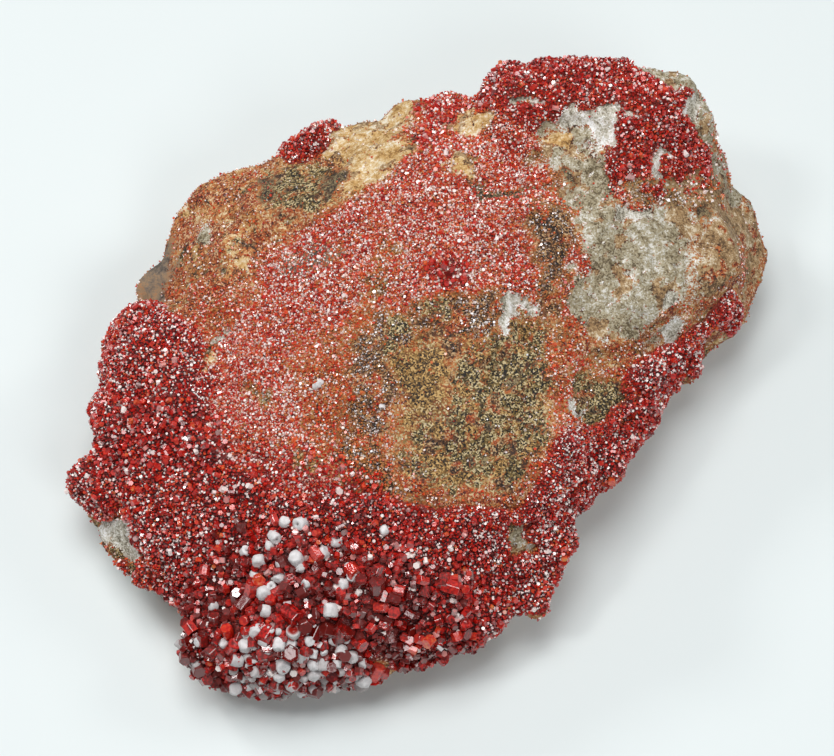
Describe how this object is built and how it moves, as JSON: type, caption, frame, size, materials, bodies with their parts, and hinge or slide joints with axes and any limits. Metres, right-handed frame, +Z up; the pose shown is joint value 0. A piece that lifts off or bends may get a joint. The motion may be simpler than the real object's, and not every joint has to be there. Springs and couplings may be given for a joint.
{
  "type": "mineral specimen",
  "caption": "Slab of weathered matrix rock with crusts of short red hexagonal crystals and a few white-coated ones.",
  "frame": {"origin": "middle of the specimen's box, on the plane it lies on", "axes": "+X to the right along the longest extent, +Y to the back, +Z up, along the shortest extent"},
  "size_m": [0.1176, 0.1056, 0.0413],
  "materials": {
    "iron_stained_rock": "rough, weathered, brown to grey",
    "vanadinite": "deep red crystals with a high, resinous gloss",
    "white_coating": "matt, chalky white"
  },
  "bodies": {
    "root": {"matrix": "iron_stained_rock", "main_crust": "vanadinite", "crest_crust": "vanadinite", "back_edge_crust": "vanadinite", "white_crystals_upper": "white_coating", "white_crystals_front": "white_coating"}
  },
  "joints": []
}
